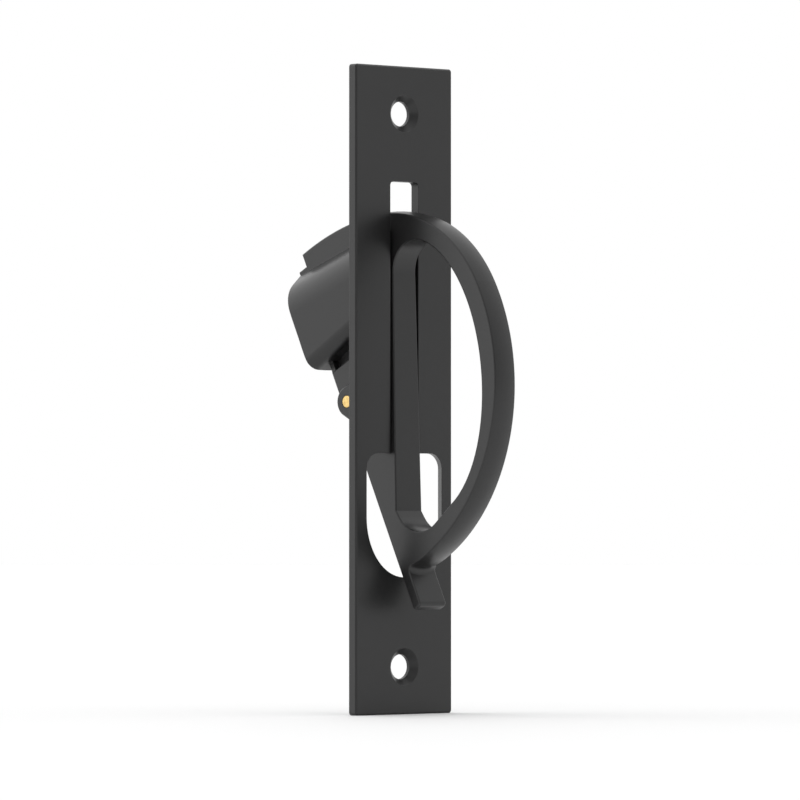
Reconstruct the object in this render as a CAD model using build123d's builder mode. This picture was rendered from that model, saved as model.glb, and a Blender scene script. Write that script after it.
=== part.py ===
"""Swinging edge pull for a sliding door or sash: slotted face plate, swing handle, pivot pin.

Frame, in millimetres: X runs along the pivot pin, Y runs back into the door, Z is up.
The origin is the centre of the face plate's back, the face that seats in the door edge.
The handle stands in its open pose. Its own axes are (depth, height): depth is measured from
the flat face into the metal, height from the pin along that face, upwards when it is shut.
"""

import os
from math import cos, radians, sin, sqrt, tan

from build123d import *

os.makedirs("parts", exist_ok=True)

# Face plate
PLATE_HEIGHT = 125.0
PLATE_WIDTH = 25.0
PLATE_THICKNESS = 2.0
PLATE_CORNER = 0.6
PLATE_EDGE = 0.3
SCREW_PITCH = 106.7
SCREW_HOLE_DIAMETER = 4.8
COUNTERSINK_DIAMETER = 7.25
COUNTERSINK_ANGLE = 90.0

# Openings in the plate; heights are from the plate's centre
SLOT_WIDTH = 7.3
SLOT_TOP = 40.2
SLOT_CORNER = 0.8
MOUTH_WIDTH = 19.5
MOUTH_TOP = -12.2
MOUTH_BOTTOM = -36.1
MOUTH_CORNER = 3.0
SLOT_MOUTH_OVERLAP = 0.9
MOUTH_FLARE = 0.85
MOUTH_END_RISE = 11.6

# Pivot
PIVOT_HEIGHT = -2.25
PIVOT_DEPTH = 6.5
PIN_DIAMETER = 2.5
PIN_CHAMFER = 0.15
PIN_RUNNING_CLEARANCE = 0.05
BORE_OVERRUN = 2.0
TRAVEL = 153.0

# Ears behind the plate
EAR_OUTER = 9.2
EAR_THICKNESS = 2.5
EAR_RADIUS = 2.85
EAR_ROOT_HEIGHT = 11.4
EAR_EDGE = 0.25

# Handle bar, loop and tail
BAR_FACE_WIDTH = 6.9
BAR_DRAFT = 1.2
BAR_REACH = 50.0
TAIL_TIP = 41.6
TAIL_THICKNESS = 2.05
TAIL_TIP_ROUND = 0.8
KNEE_ROUND = 1.1
CROWN_CENTRE = (5.2, -4.15)
CROWN_RADIUS = 38.3
CROWN_OVERRUN = 105.0
NOSE_START = -3.7
NOSE_RADIUS = 28.85
NOSE_END = -71.5
HEEL_RADIUS = 62.3
HEEL_OVERRUN = -100.0
HEEL_END_DEPTH = 2.15
RIM_ROUND = 10.6
RIM_STOCK = 0.4
RIM_WASTE_WIDTH = 12.0
RIM_WASTE_RISE = 3.0
RIM_EDGE = 0.3

# Finger hole in the loop
HOLE_CENTRE = (20.55, 2.05)
HOLE_RADII = (17.5, 26.85)
HOLE_TILT = 17.8
HOLE_HEEL_CENTRE = (10.9, 22.6)
HOLE_HEEL_RADIUS = 6.85
HOLE_WALL_DEPTH = 14.45
HOLE_WALL_SLOPE = -0.474
HOLE_CORNER = 6.0
HOLE_EDGE = 0.25

# Finger scoop; its end and point are heights from the pin
SCOOP_GAP = 0.1
SCOOP_SIDE_DRAFT = 4.5
SCOOP_FAR_DRAFT = 8.0
SCOOP_END_DRAFT = 5.7
SCOOP_WALL = 1.8
SCOOP_CORNER = 2.4
SCOOP_END = -10.3
SCOOP_POINT = -33.95
SCOOP_FAR_SLOPE = 36.8
SCOOP_SHOULDER_ROUND = 8.0
SCOOP_POINT_ROUND = 3.4
SCOOP_LOFT_START = -1.0
SCOOP_LOFT_DEPTH = 29.0
SCOOP_RIM_EDGE = 0.15
SCOOP_FLOOR_ROUND = 2.0
SHOULDER_GAP = 0.1

# Hub between the ears
HUB_WIDTH = 12.8
HUB_RADIUS = 4.1
HUB_END = -8.5
NECK_WIDTH = 9.0
HUB_EDGE = 0.3
HUB_WEB_WIDTH = 11.8
HUB_WEB_TOP = 2.15
HUB_WEB_DEPTH = 3.2

# Worked out from the above
PIVOT_Y = PIVOT_DEPTH - PLATE_THICKNESS
LEAN = 180.0 - TRAVEL
PIN_LENGTH = 2 * EAR_OUTER

into_metal = Vector(0, -cos(radians(LEAN)), sin(radians(LEAN)))
face_corner = Vector(0, PIVOT_Y, PIVOT_HEIGHT) - PIVOT_DEPTH * into_metal
handle_side = Plane(origin=face_corner, x_dir=into_metal, z_dir=(1, 0, 0))
handle_face = Plane(origin=face_corner, x_dir=(1, 0, 0), z_dir=-into_metal)
handle_section = Plane(origin=face_corner, x_dir=(1, 0, 0), z_dir=handle_face.y_dir)
pin_axis = Plane(origin=(0, PIVOT_Y, PIVOT_HEIGHT), z_dir=(1, 0, 0))


def polar(centre, radius, angle):
    """The point at an angle in degrees on a circle."""
    return (centre[0] + radius * cos(radians(angle)), centre[1] + radius * sin(radians(angle)))


def mouth_outline(plane, half_width, top, bottom, corner, end_rise):
    """A face on the plane: flat top with round corners, straight sides, half-ellipse below."""
    shoulder = bottom + end_rise
    with BuildSketch(plane) as outline:
        with BuildLine():
            Polyline((-half_width, shoulder), (-half_width, top), (half_width, top), (half_width, shoulder))
            EllipticalCenterArc((0, shoulder), half_width, end_rise, start_angle=180, arc_size=180)
        make_face()
        fillet(outline.vertices().group_by(Axis.Y)[-1], corner)
    return outline.sketch


def scoop_section(depth, wall):
    """The scoop's outline at a depth under its rim, drawn in by a wall thickness."""
    side = MOUTH_WIDTH / 2 - SCOOP_GAP - wall - depth * tan(radians(SCOOP_SIDE_DRAFT))
    end = SCOOP_END - wall - depth * tan(radians(SCOOP_END_DRAFT))
    point = SCOOP_POINT + wall / cos(radians(SCOOP_FAR_SLOPE)) + depth * tan(radians(SCOOP_FAR_DRAFT))
    shoulder = point + side * tan(radians(SCOOP_FAR_SLOPE))
    with BuildSketch(handle_face.offset(-depth)) as outline:
        with BuildLine():
            Polyline((-side, end), (side, end), (side, shoulder), (0, point), (-side, shoulder), close=True)
        make_face()
        fillet(outline.vertices().group_by(Axis.Y)[-1], SCOOP_CORNER - wall / 2)
        fillet(outline.vertices().group_by(Axis.Y)[1], SCOOP_SHOULDER_ROUND)
        fillet(outline.vertices().group_by(Axis.Y)[0], SCOOP_POINT_ROUND)
    return outline.sketch


def loop_arcs(stock):
    """The crown, nose and heel arcs of the side view, raised by the stock, each as three points."""
    crown_end = polar(CROWN_CENTRE, CROWN_RADIUS, NOSE_START)
    nose_centre = polar(crown_end, -NOSE_RADIUS, NOSE_START)
    nose_end = polar(nose_centre, NOSE_RADIUS, NOSE_END)
    heel_centre = polar(nose_end, -HEEL_RADIUS, NOSE_END)
    arcs = (
        (CROWN_CENTRE, CROWN_RADIUS, CROWN_OVERRUN, NOSE_START),
        (nose_centre, NOSE_RADIUS, NOSE_START, NOSE_END),
        (heel_centre, HEEL_RADIUS, NOSE_END, HEEL_OVERRUN),
    )
    return [
        [polar(centre, radius + stock, angle) for angle in (start, (start + end) / 2, end)]
        for centre, radius, start, end in arcs
    ]


def loop_outline():
    """The bar's side view with stock on its rim: the loop, cut square at its heel, and the tail lip."""
    root = SCOOP_POINT + SCOOP_WALL
    with BuildSketch(handle_side) as outline:
        with BuildLine():
            arcs = [ThreePointArc(*points) for points in loop_arcs(RIM_STOCK)]
            Line(arcs[-1] @ 1, arcs[0] @ 0)
        make_face()
        with Locations((TAIL_THICKNESS / 2, TAIL_TIP / 2)):
            Rectangle(TAIL_THICKNESS, TAIL_TIP)
        with Locations((0, 0)):
            Rectangle(BAR_REACH, 2 * BAR_REACH, align=(Align.MAX, Align.CENTER), mode=Mode.SUBTRACT)
        with Locations((HEEL_END_DEPTH, root)):
            Rectangle(BAR_REACH, BAR_REACH, align=(Align.MAX, Align.MAX), mode=Mode.SUBTRACT)
        fillet(outline.vertices().sort_by_distance((TAIL_THICKNESS, TAIL_TIP))[0], TAIL_TIP_ROUND)
    return outline.sketch


def wall_point(height):
    """The point of the finger hole's back wall at a height."""
    return (HOLE_WALL_DEPTH + HOLE_WALL_SLOPE * height, height)


def hole_outline():
    """The finger hole: an ellipse swollen at one end and cut off by its back wall, with round corners."""
    with BuildSketch(handle_side) as outline:
        with Locations(Location((*HOLE_CENTRE, 0), (0, 0, HOLE_TILT))):
            Ellipse(*HOLE_RADII)
        with Locations(HOLE_HEEL_CENTRE):
            Circle(HOLE_HEEL_RADIUS)
        make_hull()
        with BuildLine():
            Polyline(
                wall_point(BAR_REACH),
                (-BAR_REACH, BAR_REACH),
                (-BAR_REACH, -BAR_REACH),
                wall_point(-BAR_REACH),
                close=True,
            )
        make_face(mode=Mode.SUBTRACT)
        fillet(outline.vertices().sort_by_distance((HOLE_CENTRE[0], -HOLE_RADII[1]))[0], HOLE_CORNER)
    return outline.sketch


# Face plate: slotted strip with two ears cast on its back
with BuildPart() as face_plate:
    with BuildSketch(Plane.XZ):
        RectangleRounded(PLATE_WIDTH, PLATE_HEIGHT, PLATE_CORNER)
    extrude(amount=PLATE_THICKNESS)
    chamfer(face_plate.faces().sort_by(Axis.Y)[0].edges(), PLATE_EDGE)

    # Ears, tapering from their roots to a round end about the pin
    for start in (-EAR_OUTER, EAR_OUTER - EAR_THICKNESS):
        with BuildSketch(Plane(origin=(start, 0, PIVOT_HEIGHT), x_dir=(0, 1, 0), z_dir=(1, 0, 0))):
            with Locations((PIVOT_Y, 0)):
                Circle(EAR_RADIUS)
            with Locations((-PLATE_THICKNESS / 2, 0)):
                Rectangle(PLATE_THICKNESS / 2, EAR_ROOT_HEIGHT)
            make_hull()
        extrude(amount=EAR_THICKNESS)
    chamfer(face_plate.edges().group_by(Axis.Y)[-1], EAR_EDGE)

    # Mouth, flaring to the back, and the slot above it
    front = Plane.XZ.offset(PLATE_THICKNESS)
    flare = MOUTH_FLARE / PLATE_THICKNESS
    mouth_front = mouth_outline(
        front, MOUTH_WIDTH / 2, MOUTH_TOP, MOUTH_BOTTOM, MOUTH_CORNER, MOUTH_END_RISE
    )
    mouth_back = mouth_outline(
        Plane.XZ,
        MOUTH_WIDTH / 2 + MOUTH_FLARE,
        MOUTH_TOP,
        MOUTH_BOTTOM - MOUTH_FLARE,
        MOUTH_CORNER,
        MOUTH_END_RISE + MOUTH_FLARE,
    )
    loft([mouth_front, mouth_back], ruled=True, mode=Mode.SUBTRACT)
    slot_foot = MOUTH_TOP - SLOT_MOUTH_OVERLAP
    with BuildSketch(Plane.XZ):
        with Locations((0, slot_foot)):
            slot = Rectangle(SLOT_WIDTH, SLOT_TOP - slot_foot, align=(Align.CENTER, Align.MIN))
        fillet(slot.vertices().group_by(Axis.Y)[-1], SLOT_CORNER)
    extrude(amount=PLATE_THICKNESS, mode=Mode.SUBTRACT)

    # Countersunk screw holes
    with Locations(front):
        with Locations((0, SCREW_PITCH / 2), (0, -SCREW_PITCH / 2)):
            CounterSinkHole(
                SCREW_HOLE_DIAMETER / 2,
                COUNTERSINK_DIAMETER / 2,
                PLATE_THICKNESS,
                COUNTERSINK_ANGLE,
            )

    # Pin bore through both ears
    with Locations(pin_axis):
        Cylinder(PIN_DIAMETER / 2, PIN_LENGTH + BORE_OVERRUN, mode=Mode.SUBTRACT)

face_plate.part.label = "face_plate"
export_step(face_plate.part, "parts/face_plate.step")


# Swing handle: one casting of bar, loop, tail lip, hub and finger scoop
with BuildPart() as scoop_hollow:
    hollow_ends = [scoop_section(depth, SCOOP_WALL) for depth in (SCOOP_LOFT_START, SCOOP_LOFT_DEPTH)]
    loft(hollow_ends, ruled=True)
    split(bisect_by=Plane.XZ.offset(-SHOULDER_GAP - SCOOP_WALL), keep=Keep.BOTTOM)
    fillet(scoop_hollow.faces().sort_by(Axis.Y)[0].edges(), SCOOP_FLOOR_ROUND)

# Waste outside the loop's crowned rim; it stops at the tail's face
with BuildPart() as rim_waste:
    with BuildLine(handle_side) as rim_path:
        for points in loop_arcs(0):
            ThreePointArc(*points)
    rim_sagitta = RIM_ROUND - sqrt(RIM_ROUND**2 - (RIM_WASTE_WIDTH / 2) ** 2)
    with BuildSketch(Plane(origin=rim_path.line @ 0, x_dir=(1, 0, 0), z_dir=rim_path.line % 0)):
        with BuildLine():
            rim_left = (-RIM_WASTE_WIDTH / 2, rim_sagitta)
            rim_right = (RIM_WASTE_WIDTH / 2, rim_sagitta)
            ThreePointArc(rim_left, (0, 0), rim_right)
            Polyline(
                rim_right,
                (RIM_WASTE_WIDTH / 2, -RIM_WASTE_RISE),
                (-RIM_WASTE_WIDTH / 2, -RIM_WASTE_RISE),
                rim_left,
            )
        make_face()
    sweep(path=rim_path.wires()[0])
    split(bisect_by=handle_face.offset(-TAIL_THICKNESS), keep=Keep.BOTTOM)

with BuildPart() as loop_bar:
    extrude(loop_outline(), amount=BAR_FACE_WIDTH / 2, both=True)
    extrude(hole_outline(), amount=BAR_FACE_WIDTH, both=True, mode=Mode.SUBTRACT)
    add(rim_waste.part, mode=Mode.SUBTRACT)

    # Sides drawn in from the flat face
    draft = BAR_REACH * tan(radians(BAR_DRAFT))
    with BuildSketch(handle_section.offset(-BAR_REACH)):
        with BuildLine():
            Polyline(
                (-BAR_FACE_WIDTH / 2, 0),
                (BAR_FACE_WIDTH / 2, 0),
                (BAR_FACE_WIDTH / 2 - draft, BAR_REACH),
                (draft - BAR_FACE_WIDTH / 2, BAR_REACH),
                close=True,
            )
        make_face()
    extrude(amount=2 * BAR_REACH, mode=Mode.INTERSECT)

    # Concave knee between tail and crown, then the rounded edges
    knee = handle_side.from_local_coords((TAIL_THICKNESS, CROWN_CENTRE[1] + CROWN_RADIUS))
    fillet(loop_bar.edges().sort_by_distance(knee)[0], KNEE_ROUND)
    left, right = loop_bar.faces().sort_by(SortBy.AREA)[-2:]
    rim_edges = left.outer_wire().edges() + right.outer_wire().edges()
    fillet(
        rim_edges.filter_by(lambda edge: (edge.center() - face_corner).dot(into_metal) > RIM_EDGE),
        RIM_EDGE,
    )
    left, right = loop_bar.faces().sort_by(SortBy.AREA)[-2:]
    fillet(left.inner_wires().edges() + right.inner_wires().edges(), HOLE_EDGE)

with BuildPart() as swing_handle:
    loft([scoop_section(0, 0), scoop_section(SCOOP_LOFT_DEPTH, 0)], ruled=True)
    split(bisect_by=Plane.XZ.offset(-SHOULDER_GAP), keep=Keep.BOTTOM)
    rim = swing_handle.faces().sort_by(Axis(face_corner, into_metal))[0]
    chamfer(rim.edges(), SCOOP_RIM_EDGE)
    add(loop_bar.part)

    # Hub about the pin, with a block, a narrower neck and a web at the rim, back to the scoop
    with BuildPart(mode=Mode.PRIVATE) as hub:
        with BuildSketch(handle_side):
            with Locations((PIVOT_DEPTH, 0)):
                Circle(HUB_RADIUS)
            with Locations((PIVOT_DEPTH, HUB_END / 2)):
                Rectangle(2 * HUB_RADIUS, -HUB_END)
        extrude(amount=HUB_WIDTH / 2, both=True)
        hub_sides = hub.faces().sort_by(Axis.X)
        fillet(hub_sides[0].edges() + hub_sides[-1].edges(), HUB_EDGE)
    add(hub.part)
    neck_end = SCOOP_END - SCOOP_WALL / 2
    with BuildSketch(handle_side):
        with Locations((PIVOT_DEPTH, neck_end / 2)):
            Rectangle(2 * HUB_RADIUS, -neck_end)
    extrude(amount=NECK_WIDTH / 2, both=True)
    with BuildSketch(handle_side):
        with Locations((HUB_WEB_DEPTH, neck_end)):
            Rectangle(HUB_WEB_DEPTH - HUB_WEB_TOP, -neck_end + HUB_END / 2, align=(Align.MAX, Align.MIN))
    extrude(amount=HUB_WEB_WIDTH / 2, both=True)
    add(scoop_hollow.part, mode=Mode.SUBTRACT)

    with Locations(pin_axis):
        Cylinder(PIN_DIAMETER / 2 + PIN_RUNNING_CLEARANCE, HUB_WIDTH + BORE_OVERRUN, mode=Mode.SUBTRACT)

swing_handle.part.label = "swing_handle"
export_step(swing_handle.part, "parts/swing_handle.step")

# Pivot pin, flush with the outsides of the ears
with BuildPart() as pivot_pin:
    with Locations(pin_axis):
        Cylinder(PIN_DIAMETER / 2, PIN_LENGTH)
    chamfer(pivot_pin.edges().filter_by(GeomType.CIRCLE), PIN_CHAMFER)

pivot_pin.part.label = "pivot_pin"
export_step(pivot_pin.part, "parts/pivot_pin.step")
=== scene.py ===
"""Looks of a swinging edge pull: matt black face plate and handle, bare brass pin, plain pale stage.

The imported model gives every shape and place, in metres: X along the pin, Y back into the door, Z up.
"""

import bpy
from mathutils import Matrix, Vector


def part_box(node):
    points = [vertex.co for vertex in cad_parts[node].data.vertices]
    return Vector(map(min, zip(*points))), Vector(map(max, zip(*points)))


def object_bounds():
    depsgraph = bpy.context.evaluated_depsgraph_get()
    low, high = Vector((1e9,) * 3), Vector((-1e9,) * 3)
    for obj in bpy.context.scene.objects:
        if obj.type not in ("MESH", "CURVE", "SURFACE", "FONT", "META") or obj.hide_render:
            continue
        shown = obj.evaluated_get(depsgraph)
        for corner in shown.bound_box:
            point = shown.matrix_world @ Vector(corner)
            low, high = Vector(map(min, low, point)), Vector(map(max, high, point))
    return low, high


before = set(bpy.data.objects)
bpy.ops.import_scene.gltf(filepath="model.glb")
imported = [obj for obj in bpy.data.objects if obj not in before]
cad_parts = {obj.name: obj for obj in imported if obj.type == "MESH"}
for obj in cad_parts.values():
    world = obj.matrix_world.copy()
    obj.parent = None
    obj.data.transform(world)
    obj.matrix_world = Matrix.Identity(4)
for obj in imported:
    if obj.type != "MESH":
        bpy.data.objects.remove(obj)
CAD_BOX = [list(corner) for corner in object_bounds()]

from math import cos, radians, sin

import bmesh
import bpy
from bpy.props import FloatProperty, FloatVectorProperty, PointerProperty
from bpy.types import Operator, Panel, PropertyGroup
from mathutils import Vector

bl_info = {
    "name": "Swinging Edge Pull",
    "version": (1, 0, 0),
    "blender": (4, 5, 0),
    "location": "3D View > Sidebar > Edge Pull",
    "description": "Coats the plate and handle, finishes the pin and builds the stage",
    "category": "Object",
}

# Sockets of a Mix node for colours
MIX_FACTOR, MIX_FIRST, MIX_SECOND, MIX_RESULT = 0, 6, 7, 2

# Coat: cells of the waves and the patches to one cell of grain, and the height of the waves to the grain's
WAVE_CELLS = 0.16
PATCH_CELLS = 0.02
WAVE_HEIGHT = 1.6
FINE_SHARE = 0.5
MEAN_GRAIN = 0.75
# Edge gain: how far a turned edge goes to the paler edge colour, partly a thinner coat and partly a
# painted sheen along the edge
EDGE_SHEEN_GAIN = 7.0
PALE_PATCH = 1.35
HANDLE_POLISH = 0.02

# Brass: the wave's scale at a ring pitch of one metre, the rings' height, and the dulled patches
RING_SCALE = 0.05
RING_HEIGHT = 0.000004
DULL_CELLS = 1400.0
DULL_CONTRAST = 2.4
DULL_OFFSET = -0.9
DULL_ROUGHNESS = 0.18

# Stage: walls, in degrees round from straight in front, the point that the camera looks at, and the floor
RIGHT_WALL = 48.0
BACK_WALL = -140.0
BACK_WALL_RISE = 10.0
STRAIGHT_UP = 90.0
WALL_FALLOFF = 1.5
AIM = (0.0, -0.00073, -0.0019)
FLOOR_SEGMENTS = 96
FLOOR_CELLS = 3.0
PALE_FLOOR_PATCH = 1.02


# ---------------------------------------------------------------- settings


class CoatSettings(PropertyGroup):
    """The baked black coat on the plate and the handle."""

    colour: FloatVectorProperty(
        name="Coat Colour",
        description="Colour of the coat where it is full",
        subtype="COLOR",
        size=3,
        min=0.0,
        max=1.0,
        default=(0.011, 0.011, 0.0112),
    )
    # Paler colour on the edges: partly a thinner coat, partly a painted sheen along each edge
    thin_coat_sheen_colour: FloatVectorProperty(
        name="Thin Coat And Sheen Colour",
        description="Colour of the coat where it lies thin, on the edges",
        subtype="COLOR",
        size=3,
        min=0.0,
        max=1.0,
        default=(0.035, 0.034, 0.033),
    )
    roughness: FloatProperty(
        name="Roughness",
        description="Roughness of the coat",
        min=0.05,
        max=1.0,
        default=0.36,
    )
    roughness_spread: FloatProperty(
        name="Roughness Spread",
        description="How much the roughness wanders over the surface",
        min=0.0,
        max=0.5,
        default=0.10,
    )
    grain_size: FloatProperty(
        name="Grain Size",
        description="Width of one grain of the coat",
        unit="LENGTH",
        min=0.00002,
        default=0.00016,
    )
    grain_height: FloatProperty(
        name="Grain Height",
        description="Height of the grain of the coat",
        unit="LENGTH",
        min=0.0,
        default=0.0000025,
    )
    edge_width: FloatProperty(
        name="Edge Width",
        description="Width of the thin coat along an edge",
        unit="LENGTH",
        min=0.00001,
        default=0.00018,
    )


class PinSettings(PropertyGroup):
    """The bare brass of the pivot pin."""

    colour: FloatVectorProperty(
        name="Brass Colour",
        description="Colour of the clean brass",
        subtype="COLOR",
        size=3,
        min=0.0,
        max=1.0,
        default=(0.86, 0.62, 0.25),
    )
    tarnish_colour: FloatVectorProperty(
        name="Tarnish Colour",
        description="Colour of the brass where it has dulled",
        subtype="COLOR",
        size=3,
        min=0.0,
        max=1.0,
        default=(0.50, 0.33, 0.12),
    )
    roughness: FloatProperty(
        name="Roughness",
        description="Roughness of the turned brass",
        min=0.05,
        max=1.0,
        default=0.30,
    )
    ring_pitch: FloatProperty(
        name="Ring Pitch",
        description="Distance between two turning marks",
        unit="LENGTH",
        min=0.00001,
        default=0.00012,
    )


class StageSettings(PropertyGroup):
    """Floor, lights and camera."""

    floor_radius: FloatProperty(
        name="Floor Radius",
        description="Radius of the round floor",
        unit="LENGTH",
        min=0.1,
        default=3.0,
    )
    floor_colour: FloatVectorProperty(
        name="Floor Colour",
        description="Colour of the floor",
        subtype="COLOR",
        size=3,
        min=0.0,
        max=1.0,
        default=(0.92, 0.92, 0.92),
    )
    room_light: FloatProperty(
        name="Room Light",
        description="Strength of the even white light all round",
        min=0.0,
        default=1.0,
    )
    camera_side: FloatProperty(
        name="Camera Side",
        description="Light added on the camera's side; less than none dims it",
        min=-1.0,
        default=-0.66,
    )
    right_side: FloatProperty(
        name="Right Side",
        description="Light added on the right; less than none dims it",
        min=-1.0,
        default=-0.15,
    )
    back_side: FloatProperty(
        name="Back Side",
        description="Light added behind the object's left",
        min=-1.0,
        default=0.5,
    )
    top_side: FloatProperty(
        name="Top Side",
        description="Light added overhead",
        min=-1.0,
        default=0.2,
    )
    azimuth: FloatProperty(
        name="Camera Azimuth",
        description="Angle of the camera round the object, from straight in front",
        default=-42.1,
    )
    elevation: FloatProperty(
        name="Camera Elevation",
        description="Angle of the camera above level",
        default=-1.0,
    )
    distance: FloatProperty(
        name="Camera Distance",
        description="Distance of the camera from the point that it looks at",
        unit="LENGTH",
        min=0.1,
        default=1.178,
    )
    lens: FloatProperty(
        name="Lens",
        description="Focal length in millimetres",
        min=10.0,
        default=274.6,
    )


# ---------------------------------------------------------------- shader nodes


def wire(tree, kind, inputs=None, **settings):
    """A new node with its settings, and its inputs given as values or as sockets to link."""
    made = tree.nodes.new(kind)
    for name, value in settings.items():
        setattr(made, name, value)
    for name, value in (inputs or {}).items():
        if isinstance(value, bpy.types.NodeSocket):
            tree.links.new(value, made.inputs[name])
        else:
            made.inputs[name].default_value = value
    return made


def sums(tree, operation, first, second=0.0, third=0.0, clamp=False):
    """The result of one Math node."""
    inputs = {0: first, 1: second, 2: third}
    return wire(tree, "ShaderNodeMath", inputs, operation=operation, use_clamp=clamp).outputs[0]


def facing(tree, first, second):
    """The dot product of two directions."""
    return wire(
        tree,
        "ShaderNodeVectorMath",
        {0: first, 1: second},
        operation="DOT_PRODUCT",
    ).outputs["Value"]


def mixed(tree, factor, first, second, blend="MIX"):
    """The result of mixing two colours."""
    inputs = {MIX_FACTOR: factor, MIX_FIRST: first, MIX_SECOND: second}
    mixer = wire(tree, "ShaderNodeMix", inputs, data_type="RGBA", blend_type=blend)
    return mixer.outputs[MIX_RESULT]


def noise(tree, vector, scale, detail=2.0, roughness=0.5):
    """A noise value, from 0 to 1, at a number of cells to the metre."""
    inputs = {"Vector": vector, "Scale": scale, "Detail": detail, "Roughness": roughness}
    return wire(tree, "ShaderNodeTexNoise", inputs).outputs["Fac"]


def new_group(name, inputs, outputs):
    """A shader node group with named sockets: its tree, its inputs' sockets and its output node."""
    tree = bpy.data.node_groups.new(name, "ShaderNodeTree")
    for label, (kind, default) in inputs.items():
        socket = tree.interface.new_socket(name=label, in_out="INPUT", socket_type=kind)
        if default is not None:
            socket.default_value = default
    for label, kind in outputs.items():
        tree.interface.new_socket(name=label, in_out="OUTPUT", socket_type=kind)
    given = tree.nodes.new("NodeGroupInput").outputs
    return tree, given, tree.nodes.new("NodeGroupOutput")


def grain_group():
    """The grain of a baked coat: fine grain on a softer waviness, with a roughness that follows the fine
    grain and broader patches.
    """
    tree, given, result = new_group(
        "Coat Grain",
        {
            "Vector": ("NodeSocketVector", None),
            "Grain Size": ("NodeSocketFloat", 0.0002),
            "Roughness": ("NodeSocketFloat", 0.4),
            "Spread": ("NodeSocketFloat", 0.1),
        },
        {"Height": "NodeSocketFloat", "Roughness": "NodeSocketFloat", "Mottle": "NodeSocketFloat"},
    )
    cells = sums(tree, "DIVIDE", 1.0, given["Grain Size"])
    fine = noise(tree, given["Vector"], cells, detail=3.0)
    waves = noise(tree, given["Vector"], sums(tree, "MULTIPLY", cells, WAVE_CELLS), detail=1.0)
    patch_cells = sums(tree, "MULTIPLY", cells, PATCH_CELLS)
    patches = noise(tree, given["Vector"], patch_cells, detail=4.0, roughness=0.6)
    height = sums(tree, "MULTIPLY_ADD", waves, WAVE_HEIGHT, fine)
    wander = sums(tree, "SUBTRACT", sums(tree, "MULTIPLY_ADD", fine, FINE_SHARE, patches), MEAN_GRAIN)
    roughness = sums(tree, "MULTIPLY_ADD", wander, given["Spread"], given["Roughness"])
    tree.links.new(height, result.inputs["Height"])
    tree.links.new(roughness, result.inputs["Roughness"])
    tree.links.new(patches, result.inputs["Mottle"])
    return tree


def thin_edge_sheen_group():
    """Edges: a mask for a paler colour where a coat lies thin and where a painted sheen sits along the
    edge, broken up by noise, and normals that round the edge off.
    """
    tree, given, result = new_group(
        "Thin Edges And Sheen",
        {
            "Vector": ("NodeSocketVector", None),
            "Width": ("NodeSocketFloat", 0.0002),
            "Breaks": ("NodeSocketFloat", 900.0),
        },
        {"Mask": "NodeSocketFloat", "Normal": "NodeSocketVector"},
    )
    rounded = wire(tree, "ShaderNodeBevel", {"Radius": given["Width"]}, samples=6).outputs["Normal"]
    flat = wire(tree, "ShaderNodeNewGeometry").outputs["Normal"]
    along = facing(tree, rounded, flat)
    turned = sums(tree, "SUBTRACT", 1.0, along)
    broken = noise(tree, given["Vector"], given["Breaks"], detail=3.0)
    # Mask of the paler edge colour: a thinner coat and a painted edge sheen
    mask = sums(tree, "MULTIPLY", sums(tree, "MULTIPLY", turned, EDGE_SHEEN_GAIN), broken, clamp=True)
    tree.links.new(mask, result.inputs["Mask"])
    tree.links.new(rounded, result.inputs["Normal"])
    return tree


def shared_group(name, build):
    """The node group of that name, built the first time it is asked for."""
    return bpy.data.node_groups.get(name) or build()


def start_material(name):
    """An empty node material: its tree, its Principled shader and the piece's own coordinates."""
    material = bpy.data.materials.new(name)
    material.use_nodes = True
    tree = material.node_tree
    tree.nodes.clear()
    shader = tree.nodes.new("ShaderNodeBsdfPrincipled")
    wire(tree, "ShaderNodeOutputMaterial", {"Surface": shader.outputs["BSDF"]})
    place = tree.nodes.new("ShaderNodeTexCoord").outputs["Object"]
    return material, tree, shader, place


def set_sockets(tree, shader, sockets):
    """Links or sets the named inputs of a shader."""
    for name, value in sockets.items():
        if isinstance(value, bpy.types.NodeSocket):
            tree.links.new(value, shader.inputs[name])
        else:
            shader.inputs[name].default_value = value


def coat_material(name, coat, polish=0.0):
    """The matt black coat, with less roughness where polish is more."""
    material, tree, shader, place = start_material(name)
    grain = wire(tree, "ShaderNodeGroup", node_tree=shared_group("Coat Grain", grain_group))
    set_sockets(
        tree,
        grain,
        {
            "Vector": place,
            "Grain Size": coat.grain_size,
            "Roughness": coat.roughness - polish,
            "Spread": coat.roughness_spread,
        },
    )
    edges = wire(tree, "ShaderNodeGroup", node_tree=shared_group("Thin Edges And Sheen", thin_edge_sheen_group))
    set_sockets(tree, edges, {"Vector": place, "Width": coat.edge_width})
    full = (*coat.colour, 1.0)
    pale = (*(PALE_PATCH * part for part in coat.colour), 1.0)
    thin = (*coat.thin_coat_sheen_colour, 1.0)
    colour = mixed(tree, grain.outputs["Mottle"], full, pale)
    # Edges go paler: a thinner coat there, and a painted sheen along each edge
    colour = mixed(tree, edges.outputs["Mask"], colour, thin)
    bump = wire(
        tree,
        "ShaderNodeBump",
        {
            "Strength": 1.0,
            "Distance": coat.grain_height,
            "Height": grain.outputs["Height"],
            "Normal": edges.outputs["Normal"],
        },
    )
    set_sockets(
        tree,
        shader,
        {
            "Base Color": colour,
            "Roughness": grain.outputs["Roughness"],
            "Normal": bump.outputs["Normal"],
        },
    )
    return material


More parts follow.
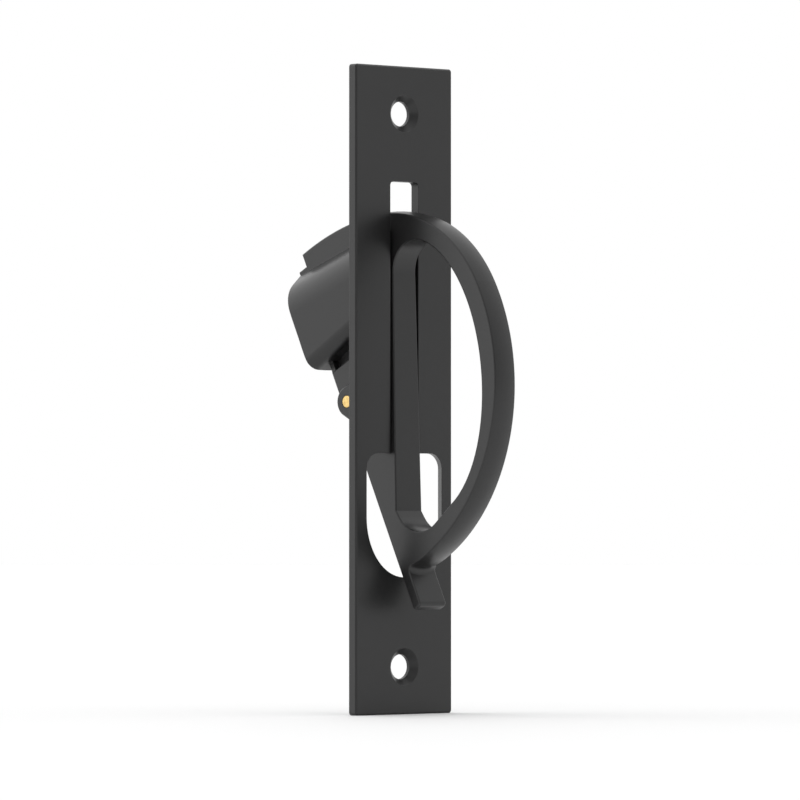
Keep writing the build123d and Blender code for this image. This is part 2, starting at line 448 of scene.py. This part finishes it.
def brass_material(name, pin, axis_point):
    """Turned brass: rings about the pin's own axis, dulled in patches."""
    material, tree, shader, place = start_material(name)
    centred = wire(
        tree,
        "ShaderNodeMapping",
        {"Vector": place, "Location": [-part for part in axis_point]},
    ).outputs["Vector"]
    rings = wire(
        tree,
        "ShaderNodeTexWave",
        {"Vector": centred, "Scale": RING_SCALE / pin.ring_pitch, "Distortion": 1.5, "Detail": 2.0},
        wave_type="RINGS",
        rings_direction="X",
    ).outputs["Fac"]
    dull = noise(tree, centred, DULL_CELLS, detail=4.0, roughness=0.6)
    dull = sums(tree, "MULTIPLY_ADD", dull, DULL_CONTRAST, DULL_OFFSET, clamp=True)
    bump = wire(
        tree,
        "ShaderNodeBump",
        {"Strength": 1.0, "Distance": RING_HEIGHT, "Height": rings},
    )
    set_sockets(
        tree,
        shader,
        {
            "Base Color": mixed(tree, dull, (*pin.colour, 1.0), (*pin.tarnish_colour, 1.0)),
            "Metallic": 1.0,
            "Roughness": sums(tree, "MULTIPLY_ADD", dull, DULL_ROUGHNESS, pin.roughness),
            "Normal": bump.outputs["Normal"],
        },
    )
    return material


def wear(node_name, material):
    """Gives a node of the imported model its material."""
    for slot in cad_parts[node_name].material_slots:
        slot.material = material


# ---------------------------------------------------------------- pieces


class EDGEPULL_OT_coat_face_plate(Operator):
    """Coat the slotted face plate and its ears"""

    bl_idname = "edge_pull.coat_face_plate"
    bl_label = "Coat Face Plate"

    def execute(self, context):
        wear("face_plate", coat_material("plate_coat", context.scene.edge_pull_coat))
        return {"FINISHED"}


class EDGEPULL_OT_coat_swing_handle(Operator):
    """Coat the swing handle, a little smoother where hands pull it"""

    bl_idname = "edge_pull.coat_swing_handle"
    bl_label = "Coat Swing Handle"

    def execute(self, context):
        coat = context.scene.edge_pull_coat
        wear("swing_handle", coat_material("handle_coat", coat, polish=HANDLE_POLISH))
        return {"FINISHED"}


class EDGEPULL_OT_finish_pivot_pin(Operator):
    """Give the pivot pin its turned brass"""

    bl_idname = "edge_pull.finish_pivot_pin"
    bl_label = "Finish Pivot Pin"

    def execute(self, context):
        low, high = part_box("pivot_pin")
        middle = (low + high) / 2
        wear("pivot_pin", brass_material("turned_brass", context.scene.edge_pull_pin, middle))
        return {"FINISHED"}


# ---------------------------------------------------------------- stage


def pale_floor(stage):
    """A round floor under the object."""
    low = CAD_BOX[0]
    mesh = bmesh.new()
    bmesh.ops.create_circle(mesh, cap_ends=True, radius=stage.floor_radius, segments=FLOOR_SEGMENTS)
    bmesh.ops.translate(mesh, verts=mesh.verts, vec=(0.0, 0.0, low[2]))
    data = bpy.data.meshes.new("floor")
    mesh.to_mesh(data)
    mesh.free()
    material, tree, shader, place = start_material("pale_floor")
    tone = noise(tree, place, FLOOR_CELLS, detail=3.0)
    paler = tuple(min(1.0, PALE_FLOOR_PATCH * part) for part in stage.floor_colour)
    colour = mixed(tree, tone, (*stage.floor_colour, 1.0), (*paler, 1.0))
    set_sockets(tree, shader, {"Base Color": colour, "Roughness": 0.8, "Specular IOR Level": 0.2})
    data.materials.append(material)
    floor = bpy.data.objects.new("floor", data)
    bpy.context.scene.collection.objects.link(floor)


def room_light(stage):
    """White light all round: dimmer on the camera's side and the right, brighter behind to the left."""
    world = bpy.data.worlds.new("room_light")
    world.use_nodes = True
    tree = world.node_tree
    way = tree.nodes.new("ShaderNodeTexCoord").outputs["Generated"]
    light = 1.0
    for azimuth, elevation, gain in (
        (stage.azimuth, stage.elevation, stage.camera_side),
        (RIGHT_WALL, 0.0, stage.right_side),
        (BACK_WALL, BACK_WALL_RISE, stage.back_side),
        (0.0, STRAIGHT_UP, stage.top_side),
    ):
        part = sums(tree, "MAXIMUM", facing(tree, way, towards(azimuth, elevation)), 0.0)
        part = sums(tree, "POWER", part, WALL_FALLOFF)
        light = sums(tree, "MULTIPLY_ADD", part, gain, light)
    light = sums(tree, "MULTIPLY", light, stage.room_light)
    seen = tree.nodes.new("ShaderNodeLightPath").outputs["Is Camera Ray"]
    light = wire(tree, "ShaderNodeMix", {0: seen, 2: light, 3: 1.0}, data_type="FLOAT").outputs[0]
    background = tree.nodes["Background"]
    background.inputs["Color"].default_value = (1.0, 1.0, 1.0, 1.0)
    tree.links.new(light, background.inputs["Strength"])
    bpy.context.scene.world = world


def towards(azimuth, elevation):
    """The direction from the object to a camera or light at two angles in degrees."""
    across, up = radians(azimuth), radians(elevation)
    return Vector((sin(across) * cos(up), -cos(across) * cos(up), sin(up)))


def camera(stage):
    """A long lens, level with the object and to its front left."""
    data = bpy.data.cameras.new("camera")
    data.lens = stage.lens
    data.sensor_width = 36.0
    data.clip_start = 0.01
    data.clip_end = 50.0
    held = bpy.data.objects.new("camera", data)
    back = towards(stage.azimuth, stage.elevation)
    held.location = Vector(AIM) + back * stage.distance
    held.rotation_euler = back.to_track_quat("Z", "Y").to_euler()
    bpy.context.scene.collection.objects.link(held)
    bpy.context.scene.camera = held


class EDGEPULL_OT_build_stage(Operator):
    """Build the pale floor, the soft room light and the camera"""

    bl_idname = "edge_pull.build_stage"
    bl_label = "Build Stage"

    def execute(self, context):
        stage = context.scene.edge_pull_stage
        pale_floor(stage)
        room_light(stage)
        camera(stage)
        context.scene.view_settings.view_transform = "Standard"
        return {"FINISHED"}


# ---------------------------------------------------------------- panel and registration


class EDGEPULL_PT_panel(Panel):
    """Settings and steps of the edge pull"""

    bl_idname = "EDGEPULL_PT_panel"
    bl_label = "Edge Pull"
    bl_space_type = "VIEW_3D"
    bl_region_type = "UI"
    bl_category = "Edge Pull"

    def draw(self, context):
        layout = self.layout
        for name, operators in STEPS.items():
            settings = getattr(context.scene, name)
            box = layout.box()
            for label in settings.__annotations__:
                box.prop(settings, label)
            for operator in operators:
                box.operator(operator.bl_idname)


STEPS = {
    "edge_pull_coat": (EDGEPULL_OT_coat_face_plate, EDGEPULL_OT_coat_swing_handle),
    "edge_pull_pin": (EDGEPULL_OT_finish_pivot_pin,),
    "edge_pull_stage": (EDGEPULL_OT_build_stage,),
}
SETTINGS = {
    "edge_pull_coat": CoatSettings,
    "edge_pull_pin": PinSettings,
    "edge_pull_stage": StageSettings,
}


def register():
    for name, settings in SETTINGS.items():
        bpy.utils.register_class(settings)
        setattr(bpy.types.Scene, name, PointerProperty(type=settings))
        for operator in STEPS[name]:
            bpy.utils.register_class(operator)
    bpy.utils.register_class(EDGEPULL_PT_panel)


def unregister():
    bpy.utils.unregister_class(EDGEPULL_PT_panel)
    for name, settings in reversed(SETTINGS.items()):
        for operator in reversed(STEPS[name]):
            bpy.utils.unregister_class(operator)
        delattr(bpy.types.Scene, name)
        bpy.utils.unregister_class(settings)


def main():
    register()
    bpy.ops.edge_pull.coat_face_plate()
    bpy.ops.edge_pull.coat_swing_handle()
    bpy.ops.edge_pull.finish_pivot_pin()
    bpy.ops.edge_pull.build_stage()


if __name__ == "__main__":
    main()
